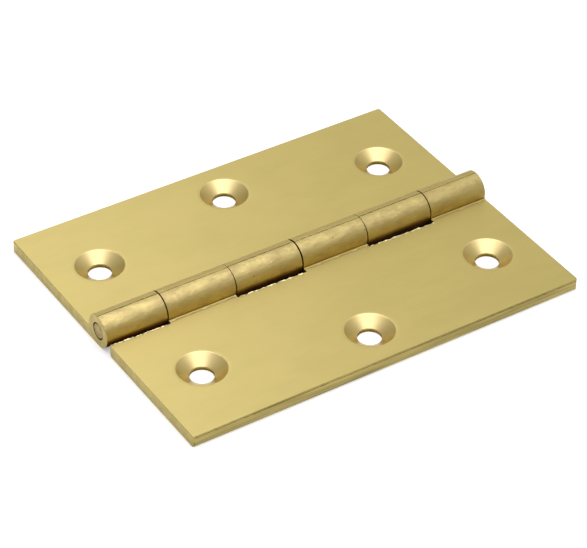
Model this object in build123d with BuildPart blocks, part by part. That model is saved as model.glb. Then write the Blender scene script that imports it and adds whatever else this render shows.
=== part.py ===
from build123d import *

import math
import os

# Butt hinge of solid drawn brass, modelled lying open flat with its countersunk faces up.
#
# X runs along the barrel, +Y from the barrel to the rear leaf's outer edge, and +Z up from the
# leaves' backs, which lie on the plane Z = 0 with the underside of the barrel. The origin is the
# middle of the hinge on that plane, straight below the barrel's axis.
#
# Both leaves are the same piece, cut from one drawn bar. The front one is turned half round, so
# that its knuckles fall into the slots of the rear one. The rear leaf grips the pin, and the
# front leaf turns on it.

# Leaves
leaf_length = 76.0  # along the barrel
leaf_reach = 29.6  # from the barrel's axis to the outer edge
leaf_thickness = 2.2
outer_edge_radius = 0.6  # the back's edge along the leaf, as it is drawn
cut_edge_radius = 0.35  # the leaf's outer corners and the back's edges at its ends
face_edge_radius = 0.12  # round the countersunk face

# Barrel
barrel_diameter = 6.0
knuckles_per_leaf = 3
end_knuckle_length = 11.5  # the outermost knuckle of each leaf
knuckle_gap = 0.25
end_setback = 0.25  # from a leaf's bare end to the end of the barrel
crease_radius = 0.3  # where the countersunk face runs into a knuckle
slot_clearance = 0.5  # from a knuckle to the floor of the slot that it turns in
slot_back_radius = 0.8

# Pin
pin_diameter = 3.0
pin_bevel = 0.25
bore_bevel = 0.1  # where the bore comes out of an outermost knuckle
gripping_clearance = 0.01  # round the pin in the rear leaf
turning_clearance = 0.05  # round the pin in the front leaf

# Screw holes
screw_hole_diameter = 4.2
countersink_diameter = 8.6
countersink_angle = 110.0
end_hole_inset = 9.4  # from the leaf's ends
end_hole_reach = 16.0  # from the barrel's axis
middle_hole_reach = 22.2
front_drilling_shift = 0.5  # of the front leaf's holes, towards its outermost knuckle

# What follows from these sizes
barrel_radius = barrel_diameter / 2
pin_radius = pin_diameter / 2
barrel_length = leaf_length + end_setback
barrel_start = -barrel_length / 2
knuckle_count = 2 * knuckles_per_leaf
inner_knuckle_length = (
    barrel_length - 2 * end_knuckle_length - (knuckle_count - 1) * knuckle_gap
) / (knuckle_count - 2)
knuckle_pitch = inner_knuckle_length + knuckle_gap
slot_floor = barrel_radius + slot_clearance  # from the barrel's axis
slot_length = inner_knuckle_length + 2 * knuckle_gap
first_slot = barrel_start + end_knuckle_length
cutter_margin = 1.0  # how far a cut starts outside the metal
screw_holes = (
    (barrel_start + end_hole_inset, end_hole_reach),
    (barrel_start + leaf_length / 2, middle_hole_reach),
    (barrel_start + leaf_length - end_hole_inset, end_hole_reach),
)

# Points of the section across the barrel, as distance from its axis and height over the backs
barrel_centre = (0, barrel_radius)
blend_height = leaf_thickness + crease_radius
blend_reach = math.sqrt(
    (barrel_radius + crease_radius) ** 2 - (blend_height - barrel_radius) ** 2
)
blend_centre = (blend_reach, blend_height)
blend_foot = (blend_reach, leaf_thickness)
blend_root = (0, leaf_thickness)


def square_to_barrel(base, position):
    """Plane across the barrel: its x runs to the leaf's outer edge, and its y runs up."""
    return Plane(
        origin=base.from_local_coords((position, 0, 0)),
        x_dir=base.y_dir,
        z_dir=base.x_dir,
    )


os.makedirs("parts", exist_ok=True)

# The leaves, each drawn, milled and drilled on its own plane: the plane's x runs from the leaf's
# outermost knuckle to its bare end, and its y runs from the barrel's axis to the outer edge.
leaves = (
    ("rear_leaf", Plane.XY, gripping_clearance, 0.0),
    ("front_leaf", Plane.XY.rotated((0, 0, 180)), turning_clearance, front_drilling_shift),
)
for name, base, bore_clearance, drilling_shift in leaves:
    outward = Axis(base.origin, base.y_dir)
    with BuildPart() as leaf:
        # Plate, with its corners and edges eased. The rounding of an outer corner runs on round
        # the drawn edge and along the back's edge at the leaf's end.
        with BuildSketch(base):
            with Locations((barrel_start, 0)):
                Rectangle(leaf_length, leaf_reach, align=(Align.MIN, Align.MIN))
        extrude(amount=leaf_thickness)
        fillet(leaf.edges().group_by(Axis.Z)[0].sort_by(outward)[-1], outer_edge_radius)
        fillet(leaf.edges().filter_by(Axis.Z).group_by(outward)[-1], cut_edge_radius)
        face_edges = leaf.edges().group_by(Axis.Z)[-1].sort_by(outward)[1:]
        fillet(face_edges, face_edge_radius)

        # Barrel along the whole leaf, tangent to its back and blended into its face
        with BuildSketch(square_to_barrel(base, barrel_start)):
            with BuildLine():
                Polyline(barrel_centre, blend_centre, blend_foot, blend_root, close=True)
            make_face()
            with Locations(blend_centre):
                Circle(crease_radius, mode=Mode.SUBTRACT)
            with Locations(barrel_centre):
                Circle(barrel_radius)
        extrude(amount=leaf_length)

        # Slots for the other leaf's knuckles
        for slot in range(knuckles_per_leaf):
            slot_start = first_slot + slot * 2 * knuckle_pitch
            with BuildSketch(square_to_barrel(base, slot_start)):
                with Locations((slot_floor, -cutter_margin)):
                    Rectangle(
                        slot_floor + barrel_radius + cutter_margin,
                        barrel_diameter + 2 * cutter_margin,
                        align=(Align.MAX, Align.MIN),
                    )
                with Locations((slot_floor, 0)):
                    Rectangle(slot_back_radius, slot_back_radius, align=(Align.MIN, Align.MIN))
                with Locations((slot_floor + slot_back_radius, slot_back_radius)):
                    Circle(slot_back_radius, mode=Mode.SUBTRACT)
            extrude(amount=slot_length, mode=Mode.SUBTRACT)

        # Bore for the pin, eased where it comes out of the outermost knuckle
        with BuildSketch(square_to_barrel(base, barrel_start)):
            with Locations(barrel_centre):
                Circle(pin_radius + bore_clearance)
        extrude(amount=leaf_length, mode=Mode.SUBTRACT)
        outermost_face = leaf.faces().sort_by(Axis(base.origin, base.x_dir))[0]
        chamfer(outermost_face.inner_wires()[0].edges(), bore_bevel)

        # Countersunk screw holes
        with Locations(base.offset(leaf_thickness)):
            with Locations(*((place - drilling_shift, reach) for place, reach in screw_holes)):
                CounterSinkHole(
                    screw_hole_diameter / 2,
                    countersink_diameter / 2,
                    counter_sink_angle=countersink_angle,
                )
    leaf.part.label = name
    export_step(leaf.part, f"parts/{name}.step")

# The pin, as long as the barrel and bevelled at both ends
with BuildPart() as hinge_pin:
    with BuildSketch(square_to_barrel(Plane.XY, barrel_start)):
        with Locations(barrel_centre):
            Circle(pin_radius)
    extrude(amount=barrel_length)
    chamfer(hinge_pin.edges().filter_by(GeomType.CIRCLE), pin_bevel)
hinge_pin.part.label = "hinge_pin"
export_step(hinge_pin.part, "parts/hinge_pin.step")
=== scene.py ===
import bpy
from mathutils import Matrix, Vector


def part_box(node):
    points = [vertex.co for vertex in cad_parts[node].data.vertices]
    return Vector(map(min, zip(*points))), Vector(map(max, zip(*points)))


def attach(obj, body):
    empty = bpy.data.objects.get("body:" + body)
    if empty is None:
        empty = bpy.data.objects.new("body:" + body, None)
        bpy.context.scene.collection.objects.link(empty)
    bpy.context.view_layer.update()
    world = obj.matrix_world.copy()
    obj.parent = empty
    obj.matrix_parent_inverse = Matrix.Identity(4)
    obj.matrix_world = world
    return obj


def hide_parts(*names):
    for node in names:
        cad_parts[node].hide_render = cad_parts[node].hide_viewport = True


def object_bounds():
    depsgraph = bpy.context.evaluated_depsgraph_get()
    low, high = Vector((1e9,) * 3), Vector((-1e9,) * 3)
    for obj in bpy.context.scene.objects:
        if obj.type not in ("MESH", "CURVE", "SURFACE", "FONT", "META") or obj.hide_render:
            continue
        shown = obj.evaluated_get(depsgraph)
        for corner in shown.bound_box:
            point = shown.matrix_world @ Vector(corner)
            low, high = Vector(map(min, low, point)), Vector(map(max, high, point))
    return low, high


bl_info = {
    "name": "Brass Butt Hinge",
    "version": (1, 0, 0),
    "blender": (4, 5, 0),
    "location": "View3D > Sidebar > Hinge",
    "description": "Builds a solid drawn brass butt hinge lying open, with its studio",
    "category": "Add Mesh",
}

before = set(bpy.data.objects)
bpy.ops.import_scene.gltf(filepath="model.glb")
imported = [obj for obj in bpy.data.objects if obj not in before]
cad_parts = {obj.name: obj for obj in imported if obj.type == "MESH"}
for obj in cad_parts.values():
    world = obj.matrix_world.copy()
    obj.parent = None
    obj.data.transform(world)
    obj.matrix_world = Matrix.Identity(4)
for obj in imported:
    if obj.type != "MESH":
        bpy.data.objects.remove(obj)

import math

import bmesh
import bpy
from bpy.props import FloatProperty, FloatVectorProperty, IntProperty, PointerProperty
from mathutils import Matrix, Vector, noise

CAD_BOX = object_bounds()
MM = 0.001
MERGE = 0.002 * MM

REAR_LOW, REAR_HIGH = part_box("rear_leaf")
PIN_LOW, PIN_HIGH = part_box("hinge_pin")


def size_property(name, description, default, lowest=0.0):
    """A length that a user may change."""
    return FloatProperty(
        name=name,
        description=description,
        default=default,
        min=lowest,
        unit="LENGTH",
        subtype="DISTANCE",
    )


def angle_property(name, description, degrees):
    """An angle that a user may change."""
    return FloatProperty(
        name=name,
        description=description,
        default=math.radians(degrees),
        unit="ROTATION",
        subtype="ANGLE",
    )


def colour_property(name, description, default):
    """A colour that a user may change."""
    return FloatVectorProperty(
        name=name,
        description=description,
        default=default,
        size=3,
        min=0.0,
        max=1.0,
        subtype="COLOR",
    )


def factor_property(name, description, default):
    """A share from 0 to 1 that a user may change."""
    return FloatProperty(
        name=name,
        description=description,
        default=default,
        min=0.0,
        max=1.0,
        subtype="FACTOR",
    )


# Settings


class HingeSizes(bpy.types.PropertyGroup):
    """Sizes of the hinge. Those that model.glb's parts tell come from them."""

    leaf_length: size_property(
        "Leaf Length", "Length of a leaf along the barrel", REAR_HIGH.x - REAR_LOW.x
    )
    leaf_reach: size_property(
        "Leaf Reach", "From the barrel's axis to a leaf's outer edge", REAR_HIGH.y
    )
    leaf_thickness: size_property("Leaf Thickness", "Thickness of a leaf's plate", 2.2 * MM)
    outer_edge_radius: size_property(
        "Outer Edge Radius", "Rounding of the back along a leaf's outer edge", 0.35 * MM
    )
    face_edge_radius: size_property(
        "Face Edge Radius", "Rounding of the face along a leaf's outer edge", 0.1 * MM
    )
    cut_edge_radius: size_property("Cut Edge Radius", "Rounding round a leaf's sawn ends", 0.08 * MM)
    corner_radius: size_property("Corner Radius", "Rounding of a leaf's outer corners", 0.45 * MM)
    barrel_diameter: size_property(
        "Barrel Diameter", "Diameter of the knuckles", REAR_HIGH.z - REAR_LOW.z
    )
    end_knuckle: size_property("End Knuckle", "Length of a leaf's outermost knuckle", 11.5 * MM)
    knuckle_gap: size_property("Knuckle Gap", "Gap between two knuckles", 0.25 * MM)
    crease_radius: size_property(
        "Crease Radius", "Where a leaf's face runs into its knuckles", 0.3 * MM
    )
    crown_groove: size_property(
        "Crown Groove", "Width of the fine line along the top of the barrel", 0.14 * MM
    )
    die_line_drop: size_property(
        "Die Line Drop", "From the face down to the fine line along the outer edge", 0.31 * MM
    )
    slot_clearance: size_property(
        "Slot Clearance", "From a knuckle to the floor of the slot it turns in", 0.5 * MM
    )
    slot_back_radius: size_property(
        "Slot Back Radius", "Rounding of the back along a slot's floor", 0.8 * MM
    )
    slot_slant: size_property(
        "Slot Slant", "How much nearer a slot's floor comes along the slot", 0.3 * MM
    )
    burr_height: size_property("Burr Height", "Height of the burr along a slot", 0.15 * MM)
    crown_flat: angle_property(
        "Crown Flat", "How far the linished flat reaches round behind the crown line", 22.0
    )
    turned_crown_flat: angle_property(
        "Turned Crown Flat", "How far the flat reaches on the leaf that is turned round", 5.0
    )
    crown_lag: angle_property(
        "Crown Lag", "How far the rear leaf's crown line lies behind the top", 3.0
    )
    edge_break: size_property(
        "Edge Break", "Width of the break on edges that are milled or drilled", 0.05 * MM
    )
    pin_diameter: size_property("Pin Diameter", "Diameter of the pin", PIN_HIGH.z - PIN_LOW.z)
    pin_bevel: size_property("Pin Bevel", "Bevel round the pin's ends", 0.25 * MM)
    bore_bevel: size_property("Bore Bevel", "Bevel where the bore comes out", 0.1 * MM)
    gripping_clearance: size_property("Gripping Clearance", "Round the pin in the rear leaf", 0.01 * MM)
    turning_clearance: size_property("Turning Clearance", "Round the pin in the front leaf", 0.05 * MM)
    screw_hole: size_property("Screw Hole", "Diameter of a screw hole below its countersink", 4.2 * MM)
    countersink: size_property("Countersink", "Diameter of a countersink at the leaf's face", 8.6 * MM)
    countersink_angle: angle_property("Countersink Angle", "Angle between a countersink's sides", 110.0)
    rim_radius: size_property("Rim Radius", "Rounding between the face and a countersink", 0.3 * MM)
    rim_dish: size_property(
        "Rim Dish", "Radius of the shallow dish polished round a countersink", 15.0 * MM
    )
    end_hole_inset: size_property("End Hole Inset", "From a leaf's end to its end screw hole", 9.4 * MM)
    end_hole_reach: size_property(
        "End Hole Reach", "From the barrel's axis to an end screw hole", 16.0 * MM
    )
    middle_hole_reach: size_property(
        "Middle Hole Reach", "From the barrel's axis to the middle screw hole", 22.2 * MM
    )
    front_drilling_shift: size_property(
        "Front Drilling Shift", "Shift of the front leaf's holes along the barrel", 0.5 * MM
    )
    knuckles_per_leaf: IntProperty(
        name="Knuckles per Leaf", description="How many knuckles each leaf has", default=3, min=1
    )


class HingeFinish(bpy.types.PropertyGroup):
    """Colours and finishes of the hinge."""

    face_colour: colour_property(
        "Face Colour", "Satin brass of the leaves' faces", (0.765, 0.625, 0.24)
    )
    face_shade: colour_property("Face Shade", "Greener brass in the leaves' faces", (0.72, 0.60, 0.225))
    barrel_colour: colour_property("Barrel Colour", "Satin brass of the knuckles", (0.71, 0.58, 0.23))
    barrel_shade: colour_property(
        "Barrel Shade", "Redder brass here and there on the knuckles", (0.60, 0.465, 0.20)
    )
    edge_colour: colour_property("Edge Colour", "Duller brass of the drawn edges", (0.60, 0.495, 0.17))
    # Painted shade: darker, browner brass for the slot walls, bore and grooves
    milled_shade_colour: colour_property(
        "Milled Shade Colour", "Brass darkened as painted shade in the slots and grooves", (0.50, 0.365, 0.10)
    )
    end_colour: colour_property("End Colour", "Brass of the sawn ends", (0.65, 0.535, 0.185))
    countersink_colour: colour_property(
        "Countersink Colour", "Freshly cut brass of the countersinks", (0.78, 0.62, 0.275)
    )
    # Partly painted highlight: torn brass made brighter so the burrs glint
    burr_glint_colour: colour_property("Burr Glint Colour", "Torn brass of the burrs, brightened as a painted glint", (0.88, 0.76, 0.38))
    pin_colour: colour_property("Pin Colour", "Dull brass of the pin", (0.54, 0.41, 0.17))
    face_roughness: factor_property("Face Roughness", "Roughness of the leaves' faces", 0.42)
    barrel_roughness: factor_property("Barrel Roughness", "Roughness of the knuckles", 0.39)
    edge_roughness: factor_property("Edge Roughness", "Roughness of cut edges", 0.40)
    countersink_roughness: factor_property(
        "Countersink Roughness", "Roughness of the countersinks", 0.31
    )


class HingeStudio(bpy.types.PropertyGroup):
    """Camera and light."""

    azimuth: angle_property("Azimuth", "Turn of the camera about the vertical", -33.8)
    elevation: angle_property("Elevation", "Height of the camera over the floor", 38.44)
    roll: angle_property("Roll", "Tilt of the camera about its own line of sight", 1.4)
    distance: size_property("Distance", "From the camera to its target", 445.5 * MM)
    target_x: size_property(
        "Target X", "Point that the camera looks at, along the barrel", -0.58 * MM, -1.0
    )
    target_y: size_property(
        "Target Y", "Point that the camera looks at, across the barrel", -0.98 * MM, -1.0
    )
    lens: FloatProperty(
        name="Lens",
        description="Focal length of the camera in millimetres",
        default=160.5,
        min=1.0,
        unit="CAMERA",
    )
    softbox: FloatProperty(
        name="Softbox", description="Brightness of the softbox above", default=1.65, min=0.0
    )
    softbox_rim: FloatProperty(
        name="Softbox Rim",
        description="Brightness of the softer light round it",
        default=0.36,
        min=0.0,
    )
    softbox_colour: colour_property("Softbox Colour", "Colour of the lamps above", (0.87, 0.84, 1.0))
    room_colour: colour_property(
        "Room Colour", "Colour of the room's light from above", (0.98, 1.0, 0.98)
    )
    horizon_colour: colour_property(
        "Horizon Colour", "Colour of the room's light from the sides", (1.0, 0.95, 0.62)
    )


# Sketching: a section is drawn by one vertex that is drawn out along runs and round arcs


def start_at(bm, point):
    """Puts down the vertex that draws."""
    return bmesh.ops.create_vert(bm, co=point)["vert"][0]


def line_to(bm, vertex, *points):
    """Draws straight runs from point to point."""
    for point in points:
        vertex = bmesh.ops.extrude_vert_indiv(bm, verts=[vertex])["verts"][0]
        vertex.co = Vector(point)
    return vertex


def arc_about(bm, vertex, centre, axis, angle, steps):
    """Draws an arc about an axis through centre."""
    drawn = bmesh.ops.spin(
        bm, geom=[vertex], cent=centre, axis=axis, angle=angle, steps=steps
    )["geom_last"]
    return next(item for item in drawn if isinstance(item, bmesh.types.BMVert))


def weld(bm, distance=MERGE):
    """Makes one vertex of those that lie together."""
    bmesh.ops.remove_doubles(bm, verts=bm.verts[:], dist=distance)


def draw_out(bm, move):
    """Fills the closed section and draws it out."""
    weld(bm)
    section = bmesh.ops.contextual_create(bm, geom=bm.edges[:])["faces"]
    drawn = bmesh.ops.extrude_face_region(bm, geom=section)["geom"]
    moved = [item for item in drawn if isinstance(item, bmesh.types.BMVert)]
    bmesh.ops.translate(bm, verts=moved, vec=move)
    bmesh.ops.recalc_face_normals(bm, faces=bm.faces[:])


def turn_full(bm, centre, axis, steps):
    """Spins the section right round."""
    bmesh.ops.spin(
        bm,
        geom=bm.verts[:] + bm.edges[:],
        cent=centre,
        axis=axis,
        angle=math.tau,
        steps=steps,
        use_merge=True,
    )
    weld(bm)
    bmesh.ops.recalc_face_normals(bm, faces=bm.faces[:])


def round_edges(bm, edges, width, segments):
    """Rounds edges, over so much of the faces beside them."""
    bmesh.ops.bevel(
        bm,
        geom=edges,
        offset=width,
        offset_type="OFFSET",
        segments=segments,
        profile=0.5,
        affect="EDGES",
        material=-1,
    )


def object_from(bm, name, material):
    """Makes an object of a finished bmesh, and frees the bmesh."""
    mesh = bpy.data.meshes.new(name)
    bm.to_mesh(mesh)
    bm.free()
    mesh.materials.append(material)
    piece = bpy.data.objects.new(name, mesh)
    bpy.context.scene.collection.objects.link(piece)
    return piece


def settle_modifiers(piece):
    """Puts the piece's modifiers into its mesh."""
    graph = bpy.context.evaluated_depsgraph_get()
    finished = bpy.data.meshes.new_from_object(piece.evaluated_get(graph))
    piece.modifiers.clear()
    old = piece.data
    piece.data = finished
    bpy.data.meshes.remove(old)
    finished.name = piece.name


def combine(piece, others, operation):
    """Cuts the others out of the piece, or joins them on, and removes them.

    A face that comes from one of the others keeps its own material.
    """
    for other in others:
        modifier = piece.modifiers.new("Combine", "BOOLEAN")
        modifier.operation = operation
        modifier.solver = "EXACT"
        modifier.material_mode = "TRANSFER"
        modifier.object = other
    settle_modifiers(piece)
    if not piece.data.polygons:
        raise RuntimeError(f"{piece.name} came out empty")
    for other in others:
        mesh = other.data
        bpy.data.objects.remove(other)
        bpy.data.meshes.remove(mesh)


def weigh_normals(piece):
    """Shades the piece smooth, with flat faces kept flat.

    Faces as small as these only get their own weights when they are scaled up.
    """
    piece.data.transform(Matrix.Scale(1 / MM, 4))
    piece.data.shade_smooth()
    piece.data.set_sharp_from_angle(angle=math.radians(50))
    weigh = piece.modifiers.new("Weigh", "WEIGHTED_NORMAL")
    weigh.mode = "FACE_AREA"
    weigh.keep_sharp = True
    settle_modifiers(piece)
    piece.data.transform(Matrix.Scale(MM, 4))


# Leaves


def crown_line(sizes, turned):
    """Where the fine line runs along the barrel, as an angle from the top away from the plate."""
    return 0 if turned else -sizes.crown_lag


def drawn_bar(sizes, turned):
    """The bar that a leaf is sawn from: a flat plate with a round barrel along its edge.

    A narrow flat is linished on the barrel behind its crown line, which is on the free side of a
    leaf that will be turned round.
    """
    radius = sizes.barrel_diameter / 2
    start = CAD_BOX[0][0]
    thick = sizes.leaf_thickness
    reach = sizes.leaf_reach
    back = sizes.outer_edge_radius
    face = sizes.face_edge_radius
    crease = sizes.crease_radius
    along = (1, 0, 0)
    axis = (start, 0, radius)
    lean = math.asin((radius - thick - crease) / (radius + crease))
    foot = (radius + crease) * math.cos(lean)
    quarter = math.pi / 2
    flat = sizes.turned_crown_flat if turned else sizes.crown_flat
    line = crown_line(sizes, turned)
    first, last = (line, line + flat) if turned else (line - flat, line)

    def on_barrel(angle):
        return (start, -radius * math.sin(angle), radius + radius * math.cos(angle))

    bm = bmesh.new()
    pen = start_at(bm, on_barrel(first))
    pen = line_to(bm, pen, on_barrel(last))
    pen = arc_about(bm, pen, axis, along, math.pi - last, 72)
    pen = line_to(bm, pen, (start, reach - back, 0))
    pen = arc_about(bm, pen, (start, reach - back, back), along, quarter, 8)
    pen = line_to(bm, pen, (start, reach, thick - face))
    pen = arc_about(bm, pen, (start, reach - face, thick - face), along, quarter, 4)
    pen = line_to(bm, pen, (start, foot, thick))
    pen = arc_about(bm, pen, (start, foot, thick + crease), along, -(quarter + lean), 10)
    arc_about(bm, pen, axis, along, quarter + lean + first, 40)
    draw_out(bm, (sizes.leaf_length, 0, 0))
    ends = [
        edge
        for edge in bm.edges
        if abs(edge.verts[0].co.x - edge.verts[1].co.x) < MERGE
        and edge.calc_face_angle() > math.radians(60)
    ]
    round_edges(bm, ends, sizes.cut_edge_radius, 3)
    return bm


def slot_cutter(sizes, start, length, clearance, lean):
    """Clears the room in which a knuckle of the other leaf turns.

    Its far wall leans into the slot at the top, and half as far out of it at the bottom.
    """
    radius = sizes.barrel_diameter / 2
    floor = radius + clearance
    back = sizes.slot_back_radius
    spare = MM
    bm = bmesh.new()
    pen = start_at(bm, (start, floor, 2 * radius + spare))
    pen = line_to(bm, pen, (start, floor, back))
    pen = arc_about(bm, pen, (start, floor + back, back), (1, 0, 0), math.pi / 2, 10)
    line_to(
        bm,
        pen,
        (start, floor + back, -spare),
        (start, -radius - spare, -spare),
        (start, -radius - spare, 2 * radius + spare),
        (start, floor, 2 * radius + spare),
    )
    draw_out(bm, (length, 0, 0))
    far_wall = [vertex for vertex in bm.verts if vertex.co.x > start + length / 2]
    near_wall = [vertex for vertex in bm.verts if vertex not in far_wall]
    for wall, share in ((near_wall, 0.5), (far_wall, -0.5)):
        floor_end = [vertex for vertex in wall if vertex.co.y > 0]
        bmesh.ops.translate(bm, verts=floor_end, vec=(0, share * sizes.slot_slant, 0))
    high = [vertex for vertex in far_wall if vertex.co.z > radius]
    low = [vertex for vertex in far_wall if vertex.co.z < radius]
    bmesh.ops.translate(bm, verts=high, vec=(-lean, 0, 0))
    bmesh.ops.translate(bm, verts=low, vec=(lean / 2, 0, 0))
    return bm


def corner_cutter(sizes, end, inward):
    """Rounds an outer corner of the plate. inward is 1 or -1, the way from the end along X."""
    radius = sizes.corner_radius
    reach = sizes.leaf_reach
    spare = MM
    start = (end + inward * radius, reach, -spare)
    bm = bmesh.new()
    pen = start_at(bm, start)
    centre = (start[0], reach - radius, -spare)
    pen = arc_about(bm, pen, centre, (0, 0, 1), inward * math.pi / 2, 8)
    line_to(
        bm,
        pen,
        (end - inward * spare, reach - radius, -spare),
        (end - inward * spare, reach + spare, -spare),
        (start[0], reach + spare, -spare),
        start,
    )
    draw_out(bm, (0, 0, sizes.leaf_thickness + 2 * spare))
    return bm


def bore_cutter(sizes, clearance):
    """Bores the barrel for the pin, eased where it comes out of the outermost knuckle."""
    axis = sizes.barrel_diameter / 2
    start = CAD_BOX[0][0]
    bore = sizes.pin_diameter / 2 + clearance
    spare = 0.5 * MM
    bm = bmesh.new()
    line_to(
        bm,
        start_at(bm, (start - spare, 0, axis)),
        (start - spare, 0, axis + bore + sizes.bore_bevel + spare),
        (start + sizes.bore_bevel, 0, axis + bore),
        (start + sizes.leaf_length + spare, 0, axis + bore),
        (start + sizes.leaf_length + spare, 0, axis),
    )
    turn_full(bm, (0, 0, axis), (1, 0, 0), 64)
    return bm


def screw_hole_cutter(sizes, x, y):
    """Drills and countersinks a screw hole, with the rim polished round and slightly dished."""
    thick = sizes.leaf_thickness
    hole = sizes.screw_hole / 2
    slope = math.pi / 2 - sizes.countersink_angle / 2
    land = thick - (sizes.countersink / 2 - hole) * math.tan(slope)
    dish, rim = sizes.rim_dish, sizes.rim_radius
    dish_start, dish_end = math.radians(2.5), math.radians(0.3)
    spare = MM

    def down(radius, angle):
        """How far an arc that starts level has come down after an angle."""
        return radius * (1 - math.cos(angle))

    dish_drop = down(dish, dish_start) - down(dish, dish_end)
    rim_drop = down(rim, slope) - down(rim, dish_start)
    cone_top = thick - dish_drop - rim_drop
    rim_start = hole + (cone_top - land) / math.tan(slope)
    rim_centre = (x + rim_start + rim * math.sin(slope), y, cone_top - rim * math.cos(slope))
    dish_reach = rim_centre[0] - rim * math.sin(dish_start)
    dish_centre = (dish_reach + dish * math.sin(dish_start), y, thick - dish * math.cos(dish_end))
    edge = dish_centre[0] - dish * math.sin(dish_end)

    bm = bmesh.new()
    pen = start_at(bm, (x, y, -spare))
    corners = ((x + hole, y, -spare), (x + hole, y, land), (x + rim_start, y, cone_top))
    pen = line_to(bm, pen, *corners)
    pen = arc_about(bm, pen, rim_centre, (0, 1, 0), slope - dish_start, 8)
    pen = arc_about(bm, pen, dish_centre, (0, 1, 0), dish_start - dish_end, 4)
    run_out = 0.3 * MM
    line_to(
        bm,
        pen,
        (edge + run_out, y, thick + run_out * math.tan(dish_end)),
        (edge + run_out, y, thick + spare),
        (x, y, thick + spare),
    )
    turn_full(bm, (x, y, 0), (0, 0, 1), 128)
    return bm


def break_edges(piece, width, radius):
    """Takes the sharpness off the edges above the back.

    A corner that this pushes out of the barrel is brought back to its radius.
    """
    blunt, lowest, shoulder = math.radians(31), 0.3 * MM, 1.5 * radius
    bm = bmesh.new()
    bm.from_mesh(piece.data)
    weld(bm)
    sharp = [
        edge
        for edge in bm.edges
        if edge.is_manifold
        and edge.calc_face_angle() > blunt
        and min(vertex.co.z for vertex in edge.verts) > lowest
    ]
    round_edges(bm, sharp, width, 2)
    weld(bm, MERGE / 2)
    for vertex in bm.verts:
        out = math.hypot(vertex.co.y, vertex.co.z - radius)
        if out > radius and vertex.co.z > shoulder:
            vertex.co.y *= radius / out
            vertex.co.z = radius + (vertex.co.z - radius) * radius / out
    bm.to_mesh(piece.data)
    bm.free()


def waves(point, seed, *swings):
    """Smooth noise along X: the sum of swings, each a size, a count per millimetre and a row."""
    along = point.x / MM
    return sum(
        size * noise.noise(Vector((along * count, seed, row))) for size, count, row in swings
    )


def wavering_strip(section, length, steps, waver):
    """A thin strip along X. waver says how far a corner moves sideways and up."""
    bm = bmesh.new()
    line_to(bm, start_at(bm, section[0]), *section[1:], section[0])
    weld(bm)
    end = bmesh.ops.contextual_create(bm, geom=bm.edges[:])["faces"]
    for count in range(steps):
        drawn = bmesh.ops.extrude_face_region(bm, geom=end)["geom"]
        if count:
            inner = [face for face in end if face.is_valid]
            bmesh.ops.delete(bm, geom=inner, context="FACES_ONLY")
        end = [item for item in drawn if isinstance(item, bmesh.types.BMFace)]
        ring = [item for item in drawn if isinstance(item, bmesh.types.BMVert)]
        bmesh.ops.translate(bm, verts=ring, vec=(length / steps, 0, 0))
    for vertex in bm.verts:
        side, rise = waver(vertex.co)
        vertex.co.y += side
        vertex.co.z += rise
    bmesh.ops.recalc_face_normals(bm, faces=bm.faces[:])
    return bm


def line_scriber(sizes, seed, place, outward):
    """Scribes a fine broken line along the bar.

    place and outward are the line's place on the section and the way out of the metal there.
    """
    start = CAD_BOX[0][0] - MM
    half = sizes.crown_groove / 2
    place, outward = Vector((0, *place)), Vector((0, *outward))
    across = outward.cross(Vector((1, 0, 0)))

    def waver(point):
        side = waves(point, seed, (0.5 * half, 0.4, 5))
        rise = waves(point, seed, (0.9 * half, 1.3, 0), (0.4 * half, 5.0, 2))
        moved = side * across + rise * outward
        return moved.y, moved.z

    section = [
        place + depth * half * outward + side * half * across + Vector((start, 0, 0))
        for depth, side in ((-1, 0), (2, 3), (2, -3))
    ]
    return wavering_strip(section, sizes.leaf_length + 2 * MM, 240, waver)


def burr_strip(sizes, start, length, floor, slant, height, ragged, seed):
    """The burr that stands up here and there along a slot, or along the foot of a knuckle.

    It starts at floor, which moves by slant along its length. ragged is how far it wanders.
    """
    face = sizes.leaf_thickness
    width = 1.9 * sizes.burr_height
    root, lip, fall, step = 0.12 * MM, 0.01 * MM, 0.02 * MM, 0.2 * MM
    usual, lowest = 0.45, -0.3  # shares of the height

    def waver(point):
        side = slant * (0.5 - (point.x - start) / length)
        side += waves(point, seed, (ragged, 0.9, 5))
        if point.y < floor + 0.5 * width:
            side += waves(point, seed, (ragged, 3.0, 7))
        if point.z < face:
            return side, 0
        lift = usual + waves(point, seed, (1.7, 0.8, 0), (1.2, 2.7, 3))
        return side, height * min(max(lift, lowest), 1.0) - (point.z - face)

    section = (
        (start, floor, face - root),
        (start, floor, face + lip),
        (start, floor + width, face - fall),
        (start, floor + width, face - root),
    )
    return wavering_strip(section, length, max(8, round(length / step)), waver)


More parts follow.
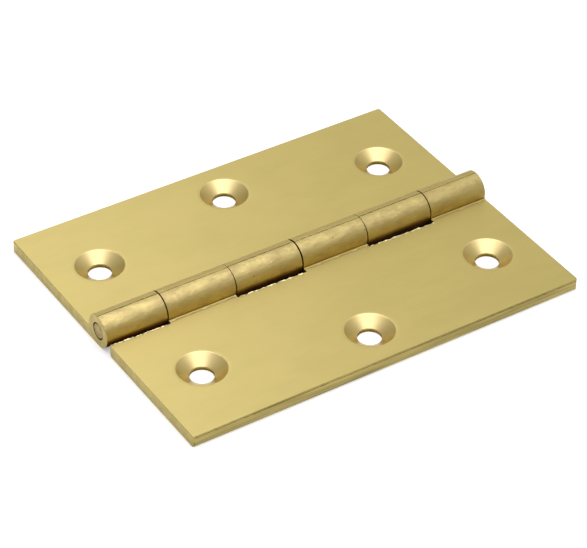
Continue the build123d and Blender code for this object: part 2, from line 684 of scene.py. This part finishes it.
def make_leaf(name, body, sizes, skins, clearance, drilling_shift, slots, turned):
    """Makes a leaf from the drawn bar, mills its slots, bores and drills it.

    slots says of each slot how much later it starts and ends than it nominally does, how much
    deeper its floor lies, and how far its far wall leans in.
    """
    start = CAD_BOX[0][0]
    length = sizes.leaf_length
    gap = sizes.knuckle_gap
    knuckles = 2 * sizes.knuckles_per_leaf
    barrel = CAD_BOX[1][0] - CAD_BOX[0][0]
    inner = (barrel - 2 * sizes.end_knuckle - (knuckles - 1) * gap) / (knuckles - 2)
    radius = sizes.barrel_diameter / 2
    foot = radius + 0.95 * sizes.crease_radius
    burr_inset, burr_setback, burr_wander = 0.15 * MM, 0.03 * MM, 0.16 * MM
    ridge_inset, ridge_height, ridge_wander = 0.3 * MM, 0.6 * sizes.burr_height, 0.02 * MM
    # How dark the painted shade gets where the knuckles turn in the other leaf's slots
    deepest_joint_shade = 0.12 if turned else 0.55
    seed = 3 if turned else 8
    ridge_seed = seed + 20

    leaf = object_from(drawn_bar(sizes, turned), name, skins["face"])
    cutters = []
    burrs = []
    knuckle_start = start
    for slot, (later_start, later_end, deeper, lean) in enumerate(slots):
        slot_start = start + sizes.end_knuckle + slot * 2 * (inner + gap) + later_start
        slot_end = slot_start - later_start + inner + 2 * gap + later_end
        room_round = sizes.slot_clearance + deeper
        room = slot_cutter(sizes, slot_start, slot_end - slot_start, room_round, lean)
        cutters.append(object_from(room, "Slot", skins["milled"]))
        burr_end = min(slot_end, start + length) - burr_inset
        burr = burr_strip(
            sizes,
            slot_start + burr_inset,
            burr_end - slot_start - burr_inset,
            radius + room_round + burr_setback,
            sizes.slot_slant,
            sizes.burr_height,
            burr_wander,
            seed + slot,
        )
        burrs.append(object_from(burr, "Burr", skins["burr"]))
        ridge = burr_strip(
            sizes,
            knuckle_start + ridge_inset,
            slot_start - knuckle_start - 2 * ridge_inset,
            foot,
            0,
            ridge_height,
            ridge_wander,
            ridge_seed + slot,
        )
        burrs.append(object_from(ridge, "Ridge", skins["countersink"]))
        knuckle_start = slot_end
    cutters.append(object_from(bore_cutter(sizes, clearance), "Bore", skins["milled"]))
    for end, inward in ((start, 1), (start + length, -1)):
        cutters.append(object_from(corner_cutter(sizes, end, inward), "Corner", skins["edge"]))
    holes = (
        (start + sizes.end_hole_inset, sizes.end_hole_reach),
        (start + length / 2, sizes.middle_hole_reach),
        (start + length - sizes.end_hole_inset, sizes.end_hole_reach),
    )
    for x, y in holes:
        bm = screw_hole_cutter(sizes, x - drilling_shift, y)
        cutters.append(object_from(bm, "Hole", skins["countersink"]))
    combine(leaf, cutters, "DIFFERENCE")
    break_edges(leaf, sizes.edge_break, radius)
    combine(leaf, burrs, "UNION")
    crown = crown_line(sizes, turned)
    up = (-math.sin(crown), math.cos(crown))
    top = (radius * up[0], radius + radius * up[1])
    below_face = sizes.leaf_thickness - sizes.die_line_drop
    lines = (
        line_scriber(sizes, seed, top, up),
        line_scriber(sizes, seed + 1, (sizes.leaf_reach, below_face), (1, 0)),
    )
    # The fine lines take the groove brass, darkened as painted shade
    combine(leaf, [object_from(bm, "Line", skins["groove"]) for bm in lines], "DIFFERENCE")
    skin_of = paint_leaf(leaf, sizes, skins)
    # Paints shade into the joint's hollows
    paint_joint_shade(leaf, sizes, skin_of, deepest_joint_shade)
    if turned:
        leaf.data.transform(Matrix.Rotation(math.pi, 4, "Z"))
    weigh_normals(leaf)
    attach(leaf, body)
    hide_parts(name)
    leaf.name = name + "_brass"


def paint_leaf(leaf, sizes, skins):
    """Gives each part of a leaf its own finish, where the cutters haven't.

    Returns the skin of each material index.
    """
    mesh = leaf.data
    indices = {}
    for skin, material in skins.items():
        if material.name not in mesh.materials:
            mesh.materials.append(material)
        indices[skin] = mesh.materials.find(material.name)
    radius = sizes.barrel_diameter / 2
    crease = radius + sizes.crease_radius
    face = sizes.leaf_thickness
    skin_deep, underside, edge_width = 0.01 * MM, 0.1 * MM, 0.7 * MM
    steep, level = math.cos(math.radians(55)), math.cos(math.radians(4))
    endways, outward, upright = 0.7, 0.3, 0.2  # shares of a normal that lie along X, Y and Z
    skin_of = {index: skin for skin, index in indices.items()}
    for polygon in mesh.polygons:
        _, y, z = polygon.center
        normal = polygon.normal
        around = math.hypot(y, z - radius)
        skin = skin_of[polygon.material_index]
        if skin == "countersink" and y > 2 * radius:
            if abs(normal.z) < upright:
                skin = "drilled"
            elif normal.z > level:
                skin = "face"
        if skin == "face":
            if abs(normal.x) > endways:
                skin = "end"
            elif radius + skin_deep < around < crease and face < z and y > 0:
                # The steep part of the crease gets the darker groove brass as painted shade
                skin = "groove" if normal.z < steep else "face"
            elif around < crease and (z > face or y < underside):
                skin = "barrel"
            elif y > sizes.leaf_reach - edge_width and normal.y > outward:
                skin = "edge"
        polygon.material_index = indices[skin]
    return skin_of


def paint_joint_shade(leaf, sizes, skin_of, deepest_shade):
    """Marks painted shade in the joint, from 0 on clean brass to 1 on the darkest.

    On the knuckles the painted shade is deepest on the side that turns in the other leaf's slots,
    and faint on the rest of their lower part, which faces away from the light. The slot walls, the
    foot of each screw hole, the creases and the fine lines get painted shade of their own.
    """
    radius = sizes.barrel_diameter / 2
    # How deep the painted shade lies in each place
    on_knuckles, in_slots, in_holes, in_lines = 0.05, 0.1, 0.2, 0.06
    in_creases = 0.6 * deepest_shade
    hole_foot = 0.25 * MM
    mesh = leaf.data
    shade_and_grime = mesh.attributes.new("shade_and_grime", "FLOAT", "CORNER").data

    def ramp(value, low, high):
        """Goes from 0 at low to 1 at high."""
        return min(max((value - low) / (high - low), 0), 1)

    for polygon in mesh.polygons:
        skin = skin_of[polygon.material_index]
        for corner in polygon.loop_indices:
            _, y, z = mesh.vertices[mesh.loops[corner].vertex_index].co
            amount = 0
            # Painted shade: knuckle undersides, hole feet, creases, fine lines and slot walls
            if skin == "barrel":
                # Degrees from the top of the barrel, towards its free side
                around = math.degrees(math.atan2(-y, z - radius))
                below = ramp(abs(around), 45, 80)
                hidden = ramp(around % 360, 86, 110) * ramp(around % 360, 190, 170)
                amount = max(on_knuckles * below, deepest_shade * hidden)
            elif skin == "drilled":
                amount = in_holes * ramp(z, hole_foot, 0)
            elif skin == "groove":
                amount = in_creases if y < 2 * radius else in_lines
            elif skin == "milled":
                amount = in_slots
            shade_and_grime[corner].value = amount


def make_pin(sizes, skins):
    """Turns the pin, bevelled at both ends."""
    axis = sizes.barrel_diameter / 2
    radius = sizes.pin_diameter / 2
    bevel = sizes.pin_bevel
    bm = bmesh.new()
    line_to(
        bm,
        start_at(bm, (PIN_LOW.x, 0, axis)),
        (PIN_LOW.x, 0, axis + radius - bevel),
        (PIN_LOW.x + bevel, 0, axis + radius),
        (PIN_HIGH.x - bevel, 0, axis + radius),
        (PIN_HIGH.x, 0, axis + radius - bevel),
        (PIN_HIGH.x, 0, axis),
    )
    turn_full(bm, (0, 0, axis), (1, 0, 0), 64)
    pin = object_from(bm, "hinge_pin_brass", skins["pin"])
    weigh_normals(pin)
    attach(pin, "rear")
    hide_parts("hinge_pin")


# Finishes


def set_inputs(node, values):
    """Sets unlinked inputs of a node."""
    for socket, value in values.items():
        node.inputs[socket].default_value = value


def add_node(tree, kind, values=None, **settings):
    """Adds a shader node, with its settings and the values of its unlinked sockets."""
    node = tree.nodes.new("ShaderNode" + kind)
    for name, value in settings.items():
        setattr(node, name, value)
    set_inputs(node, values or {})
    return node


def add_math(tree, operation, values=None):
    """Adds a node that does a sum."""
    return add_node(tree, "Math", values, operation=operation)


def link(tree, *rows):
    """Makes links. A row is a node and its output, and the node and input that it goes to."""
    for source, output, target, entry in rows:
        tree.links.new(source.outputs[output], target.inputs[entry])


def new_group(name, inputs, outputs):
    """A shader node group with named sockets, and its input and output nodes."""
    group = bpy.data.node_groups.new(name, "ShaderNodeTree")
    for label, kind, default in inputs:
        socket = group.interface.new_socket(name=label, in_out="INPUT", socket_type=kind)
        if default is not None:
            socket.default_value = default
    for label, kind in outputs:
        group.interface.new_socket(name=label, in_out="OUTPUT", socket_type=kind)
    return group, group.nodes.new("NodeGroupInput"), group.nodes.new("NodeGroupOutput")


def noise_group(name, count, detail, roughness, low, high, easing):
    """Noise drawn out along the barrel, as a height and, with more contrast, as a mask.

    count is the name of the input that sets its scale.
    """
    group, entry, leave = new_group(
        name,
        (
            ("Vector", "NodeSocketVector", None),
            (count, "NodeSocketFloat", 1000.0),
            ("Length to Width", "NodeSocketFloat", 1.0),
            ("Depth", "NodeSocketFloat", 0.0),
        ),
        (("Height", "NodeSocketFloat"), ("Mask", "NodeSocketFloat")),
    )
    pattern = add_node(group, "TexNoise", {"Detail": detail, "Roughness": roughness})
    contrast = add_node(group, "MapRange", {1: low, 2: high}, interpolation_type=easing)
    height = add_math(group, "MULTIPLY")
    share = add_math(group, "DIVIDE", {0: 1.0})
    pressed = add_node(group, "CombineXYZ", {1: 1.0, 2: 1.0})
    place = add_node(group, "VectorMath", operation="MULTIPLY")
    link(
        group,
        (entry, "Length to Width", share, 1),
        (share, 0, pressed, 0),
        (entry, "Vector", place, 0),
        (pressed, 0, place, 1),
        (place, 0, pattern, "Vector"),
        (entry, count, pattern, "Scale"),
        (pattern, "Fac", height, 0),
        (entry, "Depth", height, 1),
        (height, 0, leave, "Height"),
        (pattern, "Fac", contrast, 0),
        (contrast, 0, leave, "Mask"),
    )
    return group


def small_pits_group():
    """Tiny pits scattered here and there, as a mask."""
    group, entry, leave = new_group(
        "Small Pits",
        (
            ("Vector", "NodeSocketVector", None),
            ("Cells per Metre", "NodeSocketFloat", 500.0),
            ("Share", "NodeSocketFloat", 0.1),
        ),
        (("Mask", "NodeSocketFloat"),),
    )
    rim, bottom = 0.08, 0.03  # of a cell's width from the pit's middle
    cells = add_node(group, "TexVoronoi")
    spot = add_node(group, "MapRange", {1: rim, 2: bottom})
    chance = add_node(group, "SeparateColor")
    chosen = add_math(group, "LESS_THAN")
    mask = add_math(group, "MULTIPLY")
    link(
        group,
        (entry, "Vector", cells, "Vector"),
        (entry, "Cells per Metre", cells, "Scale"),
        (cells, "Distance", spot, 0),
        (cells, "Color", chance, 0),
        (chance, 0, chosen, 0),
        (entry, "Share", chosen, 1),
        (spot, 0, mask, 0),
        (chosen, 0, mask, 1),
        (mask, 0, leave, "Mask"),
    )
    return group


def new_material(name):
    """A material, with its node tree and its shader."""
    material = bpy.data.materials.new(name)
    material.use_nodes = True
    return material, material.node_tree, material.node_tree.nodes["Principled BSDF"]


def brass(
    name, groups, colour, shade, roughness, lines, dents, spread=0.05, pits=(500, 0), anisotropy=0
):
    """Brass with drawn lines, soft dents and small pits, darker where painted shade and grime lie.

    lines and dents are each: how many per metre, length to width, and depth in metres. pits is
    how many cells per metre, and the share of them that has a pit.
    """
    lines_in_tone, dents_in_tone, grime_in_pits = 0.5, 0.6, 0.45
    darkening, shade_and_grime_roughness = 8.0, 0.95
    material, tree, shader = new_material(name)
    set_inputs(shader, {"Specular IOR Level": 0.2})
    place = add_node(tree, "TexCoord")
    patterns = {}
    for key, values in (("lines", lines), ("dents", dents), ("pits", pits)):
        pattern = add_node(tree, "Group", node_tree=groups[key])
        link(tree, (place, "Object", pattern, "Vector"))
        set_inputs(pattern, dict(enumerate(values, 1)))
        patterns[key] = pattern
    tone = add_node(tree, "Mix", {"A": (*colour, 1), "B": (*shade, 1)}, data_type="RGBA")
    line_share = add_math(tree, "MULTIPLY", {1: lines_in_tone})
    blend = add_math(tree, "MULTIPLY_ADD", {1: dents_in_tone})
    # Painted shade read from the mesh, joined below with the grime in the pits
    painted_shade_attribute = add_node(tree, "Attribute", attribute_name="shade_and_grime")
    in_pits = add_math(tree, "MULTIPLY", {1: grime_in_pits})
    shade_and_grime = add_math(tree, "MAXIMUM")
    gamma = add_math(tree, "MULTIPLY_ADD", {1: darkening, 2: 1.0})
    soiled = add_node(tree, "Gamma")
    rough = add_node(tree, "MapRange", {3: roughness - spread, 4: roughness + spread})
    dulled = add_node(tree, "Mix", {"B": shade_and_grime_roughness}, data_type="FLOAT")
    bare = add_math(tree, "SUBTRACT", {0: 1.0})
    height = add_math(tree, "ADD")
    bump = add_node(tree, "Bump", {"Strength": 1.0, "Distance": 1.0})
    link(
        tree,
        (patterns["lines"], "Mask", line_share, 0),
        (patterns["dents"], "Mask", blend, 0),
        (line_share, 0, blend, 2),
        (blend, 0, tone, "Factor"),
        (tone, "Result", soiled, "Color"),
        (patterns["pits"], "Mask", in_pits, 0),
        (painted_shade_attribute, "Fac", shade_and_grime, 0),
        (in_pits, 0, shade_and_grime, 1),
        (shade_and_grime, 0, gamma, 0),
        (gamma, 0, soiled, "Gamma"),
        (soiled, 0, shader, "Base Color"),
        (blend, 0, rough, 0),
        (rough, 0, dulled, "A"),
        (shade_and_grime, 0, dulled, "Factor"),
        (dulled, "Result", shader, "Roughness"),
        (shade_and_grime, 0, bare, 1),
        (bare, 0, shader, "Metallic"),
        (patterns["lines"], "Height", height, 0),
        (patterns["dents"], "Height", height, 1),
        (height, 0, bump, "Height"),
        (bump, "Normal", shader, "Normal"),
    )
    if anisotropy:
        along_barrel = add_node(tree, "CombineXYZ", {0: 1.0})
        link(tree, (along_barrel, 0, shader, "Tangent"))
        quarter_turn = 0.25
        set_inputs(shader, {"Anisotropic": anisotropy, "Anisotropic Rotation": quarter_turn})
    return material


def make_skins(finish):
    """Every finish of the hinge, made once."""
    names = {
        "face": "Leaf Face Brass",
        "barrel": "Barrel Brass",
        "edge": "Drawn Edge Brass",
        "end": "Sawn End Brass",
        "milled": "Milled Brass",
        "countersink": "Countersink Brass",
        "drilled": "Drilled Brass",
        "groove": "Groove Brass",
        "burr": "Burr Brass",
        "pin": "Pin Brass",
    }
    if names["face"] in bpy.data.materials:
        return {skin: bpy.data.materials[name] for skin, name in names.items()}
    groups = {
        "lines": noise_group("Drawn Lines", "Lines per Metre", 3.0, 0.7, 0.35, 0.7, "LINEAR"),
        "dents": noise_group(
            "Soft Dents", "Dents per Metre", 2.0, 0.45, 0.35, 0.68, "SMOOTHSTEP"
        ),
        "pits": small_pits_group(),
    }
    um = 0.001 * MM  # a micrometre
    edge, end, milled = finish.edge_colour, finish.end_colour, finish.milled_shade_colour
    sink, torn_and_glinting, pin = finish.countersink_colour, finish.burr_glint_colour, finish.pin_colour

    def cut(colour, share, roughness=finish.edge_roughness, **rest):
        """The look of cut brass, whose shade is a share of its colour."""
        shade = [part * share for part in colour]
        return dict(rest, colour=colour, shade=shade, roughness=roughness)

    looks = {
        "face": {
            "colour": finish.face_colour,
            "shade": finish.face_shade,
            "roughness": finish.face_roughness,
            "spread": 0.015,
            "lines": (9000, 40, 0.15 * um),
            "dents": (220, 2.5, 55 * um),
            "anisotropy": 0.94,
        },
        "barrel": {
            "colour": finish.barrel_colour,
            "shade": finish.barrel_shade,
            "roughness": finish.barrel_roughness,
            "lines": (2000, 2.2, 40 * um),
            "dents": (700, 2.2, 105 * um),
            "pits": (620, 0.5),
            "anisotropy": 0.85,
        },
        "edge": cut(edge, 0.6, lines=(3800, 40, 4 * um), dents=(1500, 20, 6 * um), pits=(800, 0.1)),
        "end": cut(end, 0.8, lines=(4000, 1, 2 * um), dents=(700, 1, 3 * um), pits=(800, 0.1)),
        # Milled brass, darkened as painted shade
        "milled": cut(
            milled, 0.5, lines=(4000, 2, 2 * um), dents=(700, 1, 3 * um), pits=(800, 0.1)
        ),
        "countersink": cut(
            sink,
            0.95,
            finish.countersink_roughness,
            spread=0.005,
            lines=(5000, 1, 0.05 * um),
            dents=(300, 1, 4 * um),
            pits=(500, 0.02),
        ),
        "drilled": cut(edge, 0.7, 0.6, lines=(5000, 1, 2 * um), dents=(900, 1, 3 * um)),
        # Groove brass is darker still: painted shade in the creases and fine lines
        "groove": cut(milled, 0.6, lines=(6000, 2, 1 * um), dents=(900, 1, 1 * um)),
        # Burr brass: freshly torn brass, brightened as a painted glint
        "burr": cut(torn_and_glinting, 0.8, 0.3, lines=(5000, 1, 1 * um), dents=(900, 1, 1 * um)),
        "pin": cut(
            pin, 0.7, spread=0.08, lines=(4000, 1, 4 * um), dents=(1800, 1, 9 * um), pits=(1200, 0.2)
        ),
    }
    return {skin: brass(names[skin], groups, **look) for skin, look in looks.items()}


# Studio


def white_floor():
    """A plain white floor, whose open parts look white and whose shadows stay.

    Under the barrel a painted shadow lies on it: it is dark there and has no glow of its own.
    """
    wide, drop = 6.0, 0.03 * MM
    seen_glow, mirrored_glow = 0.4, 0.1
    half_length, half_width, fade = 35 * MM, 1.5 * MM, 2 * MM  # of the part under the barrel
    # Colours of the painted shadow under the barrel and of the open floor
    shadow_brown, white = (0.16, 0.11, 0.06, 1), (0.9, 0.9, 0.9, 1)
    bm = bmesh.new()
    bmesh.ops.create_circle(bm, cap_ends=True, segments=96, radius=wide)
    bmesh.ops.translate(bm, verts=bm.verts[:], vec=(0, 0, CAD_BOX[0][2] - drop))
    material, tree, shader = new_material("White Floor")
    set_inputs(shader, {"Roughness": 1.0, "Specular IOR Level": 0.0})
    set_inputs(shader, {"Emission Color": (1, 1, 1, 1)})
    ray = add_node(tree, "LightPath")
    seen = add_math(tree, "MULTIPLY", {1: seen_glow})
    mirrored = add_math(tree, "ADD")
    partly = add_math(tree, "MULTIPLY_ADD", {1: mirrored_glow})
    place = add_node(tree, "TexCoord")
    axes = add_node(tree, "SeparateXYZ")
    # Outside the painted shadow, and on the floor's underside, the floor is white and glows
    clear = add_math(tree, "MAXIMUM")
    above = add_math(tree, "MAXIMUM")
    side = add_node(tree, "NewGeometry")
    glow = add_math(tree, "MULTIPLY")
    paper = add_node(tree, "Mix", {"A": shadow_brown, "B": white}, data_type="RGBA")
    for axis, reach, socket in (("X", half_length, 0), ("Y", half_width, 1)):
        away = add_math(tree, "ABSOLUTE")
        beyond = add_node(tree, "MapRange", {1: reach, 2: reach + fade})
        link(tree, (axes, axis, away, 0), (away, 0, beyond, 0), (beyond, 0, clear, socket))
    link(
        tree,
        (place, "Object", axes, 0),
        (clear, 0, above, 0),
        (side, "Backfacing", above, 1),
        (above, 0, paper, "Factor"),
        (paper, "Result", shader, "Base Color"),
        (ray, "Is Camera Ray", seen, 0),
        (ray, "Is Glossy Ray", mirrored, 0),
        (ray, "Is Transmission Ray", mirrored, 1),
        (mirrored, 0, partly, 0),
        (seen, 0, partly, 2),
        (partly, 0, glow, 0),
        (above, 0, glow, 1),
        (glow, 0, shader, "Emission Strength"),
    )
    object_from(bm, "white_floor", material)


def light_room(scene, studio):
    """Lights the room all round, most from above, and a little more from the right and back."""
    brighter_towards, level_strength, least_strength = (0.141, 0.103, 0.655), 0.128, 0.02
    scene.world = bpy.data.worlds.new("Room")
    scene.world.use_nodes = True
    tree = scene.world.node_tree
    background = tree.nodes["Background"]
    around = add_node(tree, "TexCoord")
    slope = add_node(tree, "VectorMath", {1: brighter_towards}, operation="DOT_PRODUCT")
    level = add_math(tree, "ADD", {1: level_strength})
    lowest = add_math(tree, "MAXIMUM", {1: least_strength})
    axes = add_node(tree, "SeparateXYZ")
    tones = {"A": (*studio.horizon_colour, 1), "B": (*studio.room_colour, 1)}
    colour = add_node(tree, "Mix", tones, data_type="RGBA", clamp_factor=True)
    link(
        tree,
        (around, "Generated", slope, 0),
        (slope, "Value", level, 0),
        (level, 0, lowest, 0),
        (lowest, 0, background, "Strength"),
        (around, "Generated", axes, 0),
        (axes, "Z", colour, "Factor"),
        (colour, "Result", background, "Color"),
    )


def add_softbox(name, centre, size, radiance, colour):
    """A rectangular lamp of even brightness, facing straight down."""
    lamp = bpy.data.lights.new(name, "AREA")
    lamp.shape = "RECTANGLE"
    lamp.size, lamp.size_y = size
    lamp.energy = radiance * math.pi * size[0] * size[1]
    lamp.color = colour
    box = bpy.data.objects.new(name, lamp)
    bpy.context.scene.collection.objects.link(box)
    box.location = centre


def add_camera(studio):
    """The camera, placed by its angles, distance and target."""
    turn, rise, roll = studio.azimuth, studio.elevation, studio.roll
    right = Vector((math.cos(turn), math.sin(turn), 0))
    level = Vector((math.sin(turn), -math.cos(turn), 0))
    back = math.cos(rise) * level + Vector((0, 0, math.sin(rise)))
    up = back.cross(right)
    tilted_right = math.cos(roll) * right + math.sin(roll) * up
    tilted_up = math.cos(roll) * up - math.sin(roll) * right
    camera = bpy.data.cameras.new("Camera")
    camera.lens = studio.lens
    camera.sensor_width = 36.0
    camera.clip_start = 0.01
    camera.clip_end = 100.0
    place = Matrix((tilted_right, tilted_up, back)).transposed().to_4x4()
    target = Vector((studio.target_x, studio.target_y, 0))
    place.translation = target + back * studio.distance
    holder = bpy.data.objects.new("Camera", camera)
    holder.matrix_world = place
    bpy.context.scene.collection.objects.link(holder)
    bpy.context.scene.camera = holder


# Operators


class HINGE_OT_leaves(bpy.types.Operator):
    """Build both leaves, interlocking round the pin"""

    bl_idname = "hinge.leaves"
    bl_label = "Build Leaves"
    bl_options = {"REGISTER", "UNDO"}

    def execute(self, context):
        sizes = context.scene.hinge_sizes
        skins = make_skins(context.scene.hinge_finish)
        grip, turn = sizes.gripping_clearance, sizes.turning_clearance
        shift = sizes.front_drilling_shift
        # Of each slot: later start, later end, deeper floor, lean of its far wall
        rear = ((0, 0, 0, 0),) * 3
        front = (
            (0.08 * MM, -0.02 * MM, 0.38 * MM, 0.2 * MM),
            (0, -0.03 * MM, 0.3 * MM, 0.2 * MM),
            (0.06 * MM, 0, 0.06 * MM, 0),
        )
        make_leaf("rear_leaf", "rear", sizes, skins, grip, 0, rear, False)
        make_leaf("front_leaf", "front", sizes, skins, turn, shift, front, True)
        return {"FINISHED"}


class HINGE_OT_pin(bpy.types.Operator):
    """Build the pin that the leaves turn on"""

    bl_idname = "hinge.pin"
    bl_label = "Build Pin"
    bl_options = {"REGISTER", "UNDO"}

    def execute(self, context):
        make_pin(context.scene.hinge_sizes, make_skins(context.scene.hinge_finish))
        return {"FINISHED"}


class HINGE_OT_studio(bpy.types.Operator):
    """Set up the floor, the lamps and the camera"""

    bl_idname = "hinge.studio"
    bl_label = "Set Up Studio"
    bl_options = {"REGISTER", "UNDO"}

    def execute(self, context):
        scene = context.scene
        studio = scene.hinge_studio
        scene.view_settings.view_transform = "Standard"
        light_room(scene, studio)
        white_floor()
        tint = studio.softbox_colour
        add_softbox("Softbox", (-0.012, -0.068, 0.9), (0.836, 1.061), studio.softbox, tint)
        add_softbox("Softbox Rim", (0.16, -0.195, 0.9), (1.266, 1.011), studio.softbox_rim, tint)
        add_camera(studio)
        return {"FINISHED"}


class HINGE_PT_panel(bpy.types.Panel):
    """The hinge's steps and settings"""

    bl_idname = "HINGE_PT_panel"
    bl_label = "Brass Butt Hinge"
    bl_space_type = "VIEW_3D"
    bl_region_type = "UI"
    bl_category = "Hinge"

    def draw(self, context):
        layout = self.layout
        for step in STEPS:
            layout.operator(step.bl_idname)
        for settings in ("hinge_sizes", "hinge_finish", "hinge_studio"):
            box = layout.box()
            group = getattr(context.scene, settings)
            for name in group.__annotations__:
                box.prop(group, name)


STEPS = (HINGE_OT_leaves, HINGE_OT_pin, HINGE_OT_studio)
CLASSES = (HingeSizes, HingeFinish, HingeStudio, *STEPS, HINGE_PT_panel)


def register():
    for item in CLASSES:
        bpy.utils.register_class(item)
    bpy.types.Scene.hinge_sizes = PointerProperty(type=HingeSizes)
    bpy.types.Scene.hinge_finish = PointerProperty(type=HingeFinish)
    bpy.types.Scene.hinge_studio = PointerProperty(type=HingeStudio)


def unregister():
    del bpy.types.Scene.hinge_studio
    del bpy.types.Scene.hinge_finish
    del bpy.types.Scene.hinge_sizes
    for item in reversed(CLASSES):
        bpy.utils.unregister_class(item)


def main():
    register()
    bpy.ops.hinge.leaves()
    bpy.ops.hinge.pin()
    bpy.ops.hinge.studio()


if __name__ == "__main__":
    main()
